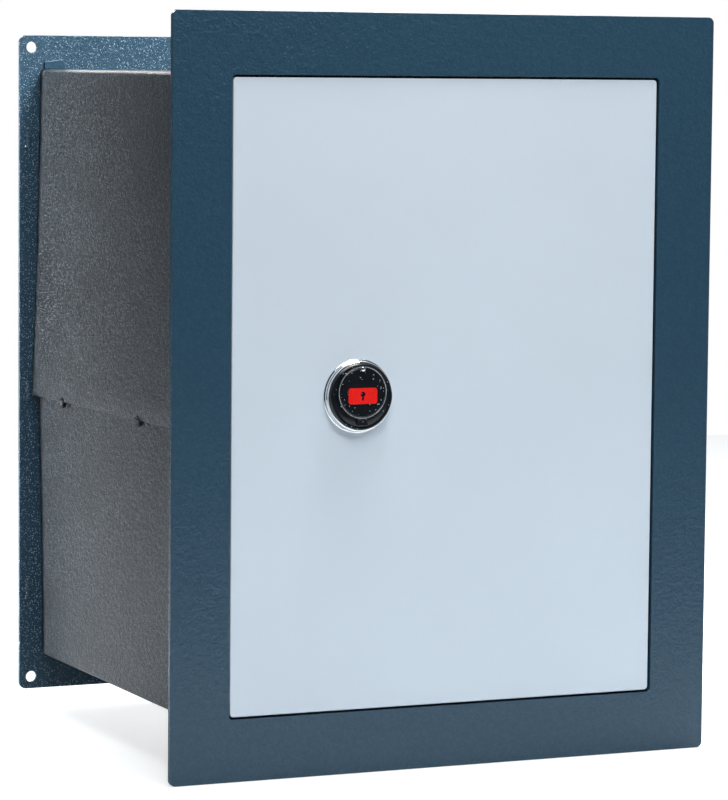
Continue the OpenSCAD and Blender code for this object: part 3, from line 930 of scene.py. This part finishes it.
class SAFE_OT_escutcheon(SafeOperator):
    """Models the bright ring, the black insert and the rivet round the keyhole"""

    bl_idname = "safe.escutcheon"
    bl_label = "Escutcheon"

    def build(self, shape):
        self.ring()
        self.insert()
        self.rivet()

    def ring(self):
        low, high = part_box("escutcheon_ring")
        centre = ((low.x + high.x) / 2, high.y, (low.z + high.z) / 2)
        outer = (high.x - low.x) / 2 / MM
        lip_low, lip_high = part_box("escutcheon_bezel")
        inner = (lip_high.x - lip_low.x) / 2 / MM - 1.4
        profile = (
            (inner, 0), (outer, 0), (outer, 0.7), (outer - 0.12, 1.15), (outer - 0.45, 1.45),
            (outer - 0.95, 1.55), (outer - 1.05, 1.7), (outer - 1.05, 2.7), (outer - 1.2, 3.1),
            (outer - 1.5, 3.3), (outer - 1.62, 3.5), (outer - 1.62, 4.9), (outer - 1.75, 5.25),
            (outer - 2.05, 5.4), (inner, 5.4), (inner, 0),
        )
        obj = turned(centre, [(r * MM, d * MM) for r, d in profile], 128)
        shade(obj, 40)
        settle_as(obj, "escutcheon_ring")

    def insert(self):
        low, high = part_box("escutcheon_bezel")
        centre = ((low.x + high.x) / 2, high.y, (low.z + high.z) / 2)
        r = (high.x - low.x) / 2 / MM
        bore = INSERT_BORE_R_MM
        stem = r - 1.5
        front = (high.y - low.y) / MM
        profile = (
            (bore, 0), (stem, 0), (stem, 5.5), (r - 0.15, 5.5), (r, 5.65), (r, front - 0.9),
            (r - 0.2, front - 0.4), (r - 0.7, front - 0.05), (r - 1.4, front), (r - 2.0, front - 0.3),
            (r - 2.5, front - 0.35), (r - 3.1, front - 0.1), (bore + 1, front - 0.1),
            (bore + 0.2, front - 0.3), (bore, front - 0.6), (bore, 0),
        )
        obj = turned(centre, [(a * MM, d * MM) for a, d in profile], 128)
        shade(obj, 40)
        settle_as(obj, "escutcheon_bezel")

    def rivet(self):
        low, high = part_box("cover_rivet")
        centre = ((low.x + high.x) / 2, high.y, (low.z + high.z) / 2)
        top = (high.y - low.y) / MM
        profile = (
            (0, 0), (1, 0), (1, 1.85), (1.6, 1.9), (1.5, top - 0.3), (1.1, top - 0.05),
            (0.6, top), (0.4, top - 0.25), (0, top - 0.3),
        )
        obj = turned(centre, [(r * MM, d * MM) for r, d in profile], 32)
        shade(obj, 40)
        settle_as(obj, "cover_rivet")


class SAFE_OT_keyhole_cover(SafeOperator):
    """Models the swinging keyhole cover, its finger tab and its plain red mark"""

    bl_idname = "safe.keyhole_cover"
    bl_label = "Keyhole cover"

    def build(self, shape):
        low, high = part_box("keyhole_cover")
        radius = (high.x - low.x) / 2
        centre = Vector(((low.x + high.x) / 2, high.y, high.z - radius))
        disc_t, lip = 1.4, radius / MM
        # A shallow groove runs round the face, just inside the rim.
        profile = (
            (0, 0), (lip - 0.2, 0), (lip, 0.2), (lip, disc_t - 0.4), (lip - 0.15, disc_t - 0.1),
            (lip - 0.45, disc_t), (lip - 0.9, disc_t), (lip - 1.1, disc_t - 0.18),
            (lip - 1.45, disc_t - 0.2), (lip - 1.7, disc_t - 0.05), (lip - 1.85, disc_t),
            (lip - 2.1, disc_t), (0, disc_t),
        )
        disc = turned(centre, [(r * MM, d * MM) for r, d in profile], 128)
        half_tab, tab_height = 3.5 * MM, 4.6 * MM
        tab = add_block(
            (centre.x - half_tab, low.y, low.z),
            (centre.x + half_tab, high.y - 0.1 * MM, low.z + tab_height),
        )
        edit(tab, "VERT", lambda place: place.y < low.y + NEAR and place.z > low.z + NEAR)
        bpy.ops.transform.translate(value=(0, 1.2 * MM, 0))
        leave_edit()
        round_edges(tab, 0.4 * MM, 3, 30)
        rivet_low, rivet_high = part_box("cover_rivet")
        rivet = (rivet_low + rivet_high) / 2
        cut(disc, add_bar((rivet.x, centre.y, rivet.z), 1.05 * MM, 10 * MM, "Y", 32))
        cover = join([disc, tab])
        shade(cover, 22)
        settle_as(cover, "keyhole_cover")
        mark = eased_copy("cover_emblem", 0.15 * MM, 2)
        settle_as(mark, "cover_emblem")


class SAFE_OT_back_cover(SafeOperator):
    """Models the folded cover over the bolt work"""

    bl_idname = "safe.back_cover"
    bl_label = "Back cover"

    def build(self, shape):
        low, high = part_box("back_cover")
        obj = add_block(low, high)
        edit(obj, "FACE", lambda centre, normal: normal.y < -0.5)
        bpy.ops.mesh.delete(type="FACE")
        leave_edit()
        rear = lambda a, b: min(a.y, b.y) > high.y - NEAR
        corners = along("Y")
        bevel_where(obj, lambda a, b: rear(a, b) or corners(a, b), 2.2 * MM, 5)
        modify(obj, "SOLIDIFY", thickness=1.2 * MM, offset=-1, use_even_offset=True)
        bolt_low, bolt_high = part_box("locking_bolts")
        bolt_size = bolt_high.y - bolt_low.y
        pitch = (bolt_high.z - bolt_low.z - bolt_size) / 2
        notch = bolt_size / 2 + 1.5 * MM
        past = 5 * MM
        for n in (-1, 0, 1):
            cut(obj, add_block(
                (low.x - past, low.y - past, n * pitch - notch),
                (low.x + past, (bolt_low.y + bolt_high.y) / 2 + notch, n * pitch + notch),
            ))
        screw_low, screw_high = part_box("cover_screws")
        head_r, screw_bore_r = 4.6 * MM, 2.6 * MM
        for x in (screw_low.x + head_r, screw_high.x - head_r):
            for z in (screw_low.z + head_r, screw_high.z - head_r):
                cut(obj, add_bar((x, high.y, z), screw_bore_r, 10 * MM, "Y", 24))
        round_edges(obj, 0.2 * MM, 2, 60)
        shade_flats(obj)
        settle_as(obj, "back_cover")


class SAFE_OT_bolt_work(SafeOperator):
    """Models the locking bolts, their bar, screws and guides"""

    bl_idname = "safe.bolt_work"
    bl_label = "Bolt work"

    def build(self, shape):
        self.bolts()
        for node in ("bolt_bar", "bolt_guides", "lock_bolt", "bolt_stump", "dog_bolts", "cover_posts"):
            settle_as(eased_copy(node, shape.cut_edge), node)
        for node in ("bolt_screws", "cover_screws"):
            settle_as(eased_copy(node, SCREW_EDGE), node)

    def bolts(self):
        low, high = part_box("locking_bolts")
        radius = (high.y - low.y) / 2
        pitch = (high.z - low.z) / 2 - radius
        length, r = (high.x - low.x) / MM, radius / MM
        profile = (
            (0, 0), (4.05, 0), (9.6, 0), (r, 0.4), (r, length - 1.8), (r - 0.25, length - 1.1),
            (r - 0.8, length - 0.45), (r - 1.6, length - 0.08), (r - 2.2, length), (0, length),
        )
        centre = Vector((high.x, (low.y + high.y) / 2, 0))
        first = turned(centre, [(a * MM, d * MM) for a, d in profile], 72, "X")
        shade(first, 40)
        pieces = [first] + [copy_by(first, (0, 0, n * pitch)) for n in (-1, 1)]
        settle_as(join(pieces), "locking_bolts")


class SAFE_OT_hinge_parts(SafeOperator):
    """Models the hinge brackets, pins, washers and knuckles"""

    bl_idname = "safe.hinge_parts"
    bl_label = "Hinge parts"

    def build(self, shape):
        for node in ("hinge_brackets", "hinge_knuckles", "hinge_pins"):
            settle_as(eased_copy(node, 0.6 * MM, 3), node)
        settle_as(eased_copy("hinge_washers", SCREW_EDGE), "hinge_washers")


class SAFE_OT_lock_parts(SafeOperator):
    """Models the lock case, its cover and its working parts"""

    bl_idname = "safe.lock_parts"
    bl_label = "Lock parts"

    def build(self, shape):
        for node in ("lock_case", "lock_cover", "drill_plate", "lock_curtain", "lever_post"):
            settle_as(eased_copy(node, shape.cut_edge), node)
        for node in ("lock_screws", "escutcheon_screws"):
            settle_as(eased_copy(node, SCREW_EDGE), node)
        for node in ("levers", "lever_springs"):
            settle_as(eased_copy(node, 0.12 * MM, 1), node)


class SAFE_OT_interior(SafeOperator):
    """Models the strike channel, door stops, shelf, shelf clips and floor mat"""

    bl_idname = "safe.interior"
    bl_label = "Interior"

    def build(self, shape):
        for node in ("strike_plate", "door_stops", "shelf_brackets", "shelf"):
            settle_as(eased_copy(node, shape.cut_edge, 3), node)
        self.mat()

    def mat(self):
        low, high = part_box("floor_mat")
        obj = add_block(low, high)
        edit(obj, "FACE", lambda centre, normal: True)
        bpy.ops.mesh.subdivide(number_cuts=24)
        leave_edit()
        for vertex in obj.data.vertices:
            if vertex.co.z > high.z - NEAR:
                # The felt lies in faint waves, 0.2 to 0.3 m long and half a millimetre deep.
                wave = math.sin(vertex.co.x * 31) * math.cos(vertex.co.y * 23 + 1)
                vertex.co.z -= (0.25 + 0.25 * wave) * MM
        round_edges(obj, 0.9 * MM, 3, 50)
        shade(obj, 50)
        settle_as(obj, "floor_mat")


class SAFE_OT_stage(SafeOperator):
    """Makes the pale floor, the soft lights and the camera"""

    bl_idname = "safe.stage"
    bl_label = "Stage"

    def build(self, shape):
        self.floor()
        self.lights()
        self.camera(shape)
        bpy.context.scene.view_settings.view_transform = "Standard"
        bpy.context.scene.view_settings.look = "None"

    def floor(self):
        deselect()
        middle = FLOOR_EDGE + FLOOR_SIZE / 2
        bpy.ops.mesh.primitive_plane_add(
            size=FLOOR_SIZE, location=(0, middle, CAD_LOW.z - 0.5 * MM)
        )
        settle_transform()
        obj = bpy.context.object
        obj.name = "floor"
        obj.data.materials.append(pale_floor())

    def lights(self):
        self.room()
        centre = Vector((0, -0.16, 0))
        # Each light's name, place, aim, width and height in metres, spread in degrees, and watts.
        for name, place, aim, width, height, spread_deg, power in (
            ("overhead", (0.3, -0.1, 2.1), centre, 1.5, 2.0, 180, 43),
            ("key", (-0.35, -1.8, 2.0), centre, 1.2, 1.0, 180, 37),
            ("right_fill", (2.6, -1.6, 0.6), centre, 1.4, 1.4, 180, 3),
            ("left_fill", (-2.6, -1.0, 0.8), centre, 1.2, 1.2, 180, 0.6),
            ("roof_strip", (0.2, -0.2, 0.8), (0.0, 0, 0.24), 0.6, 0.2, 180, 20),
            ("side_glow", (-1.2, 0.3, 0.15), (-0.165, 0.02, 0), 0.3, 0.8, 28, 3.0),
            ("glint", (0.25, -1.25, 0.8), centre, 0.35, 0.25, 180, 2.5),
            ("rear_strip", (-0.25, 1.6, 0.95), centre, 0.5, 0.35, 180, 9),
        ):
            data = bpy.data.lights.new(name, "AREA")
            data.shape, data.size, data.size_y, data.energy = "RECTANGLE", width, height, power
            data.spread = math.radians(spread_deg)
            light = bpy.data.objects.new(name, data)
            light.location = place
            light.rotation_euler = (Vector(aim) - Vector(place)).to_track_quat("-Z", "Y").to_euler()
            light.visible_camera = False
            bpy.context.scene.collection.objects.link(light)

    def room(self):
        """A dim blue-white room with a bright sweep behind the safe, and plain white to look at."""
        world = bpy.data.worlds.new("studio")
        world.use_nodes = True
        tree = world.node_tree
        tree.nodes.clear()
        direction = add(tree, "ShaderNodeTexCoord").outputs["Generated"]
        backwards = add(tree, "ShaderNodeSeparateXYZ", {"Vector": direction}).outputs["Y"]
        glow = add(
            tree, "ShaderNodeMapRange",
            {"Value": backwards, "From Min": 0.9, "From Max": 0.985, "To Min": 0.05, "To Max": 0.2},
            interpolation_type="SMOOTHSTEP",
        )
        lit = add(
            tree, "ShaderNodeBackground",
            {"Color": rgba(linear("#DCE9F4")), "Strength": glow.outputs["Result"]},
        )
        seen = add(tree, "ShaderNodeBackground", {"Color": rgba((1, 1, 1)), "Strength": 1.0})
        choice = add(
            tree, "ShaderNodeMixShader",
            {
                0: add(tree, "ShaderNodeLightPath").outputs["Is Camera Ray"],
                1: lit.outputs["Background"], 2: seen.outputs["Background"],
            },
        )
        add(tree, "ShaderNodeOutputWorld", {"Surface": choice.outputs["Shader"]})
        bpy.context.scene.world = world

    def camera(self, shape):
        """A long lens, left of the safe and slightly above its middle, that looks a little down."""
        turn, tilt, lean = math.radians(24.05), math.radians(5.15), math.radians(0.51)
        ahead = Vector((math.sin(turn) * math.cos(tilt), math.cos(turn) * math.cos(tilt), -math.sin(tilt)))
        level = Vector((math.cos(turn), -math.sin(turn), 0))
        down = ahead.cross(level)
        right = level * math.cos(lean) - down * math.sin(lean)
        up = -(level * math.sin(lean) + down * math.cos(lean))
        data = bpy.data.cameras.new("camera")
        data.lens = 166.6
        data.sensor_width = 36
        camera = bpy.data.objects.new("camera", data)
        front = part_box("front_frame")[0].y
        place = Vector((-1.045, front - shape.camera_distance, 0.215))
        camera.matrix_world = Matrix.Translation(place) @ Matrix((right, up, -ahead)).transposed().to_4x4()
        bpy.context.scene.collection.objects.link(camera)
        bpy.context.scene.camera = camera


class SAFE_PT_panel(bpy.types.Panel):
    """Lists the safe's pieces in the sidebar"""

    bl_label = "Wall Safe"
    bl_idname = "SAFE_PT_panel"
    bl_space_type = "VIEW_3D"
    bl_region_type = "UI"
    bl_category = "Wall Safe"

    def draw(self, context):
        for settings in (context.scene.safe_shape, context.scene.safe_colours):
            for name in settings.__annotations__:
                self.layout.prop(settings, name)
        for step in STEPS:
            self.layout.operator(step.bl_idname)


STEPS = (
    SAFE_OT_stage, SAFE_OT_front_frame, SAFE_OT_door_plate, SAFE_OT_body_shells, SAFE_OT_rear_plate,
    SAFE_OT_weld_beads, SAFE_OT_escutcheon, SAFE_OT_keyhole_cover, SAFE_OT_back_cover,
    SAFE_OT_bolt_work, SAFE_OT_hinge_parts, SAFE_OT_lock_parts, SAFE_OT_interior,
)
CLASSES = (SafeShapeSettings, SafeColourSettings, *STEPS, SAFE_PT_panel)


def register():
    for cls in CLASSES:
        bpy.utils.register_class(cls)
    bpy.types.Scene.safe_shape = bpy.props.PointerProperty(type=SafeShapeSettings)
    bpy.types.Scene.safe_colours = bpy.props.PointerProperty(type=SafeColourSettings)


def unregister():
    del bpy.types.Scene.safe_colours
    del bpy.types.Scene.safe_shape
    for cls in reversed(CLASSES):
        bpy.utils.unregister_class(cls)


def main():
    register()
    for step in STEPS:
        group, name = step.bl_idname.split(".")
        getattr(getattr(bpy.ops, group), name)()


if __name__ == "__main__":
    main()
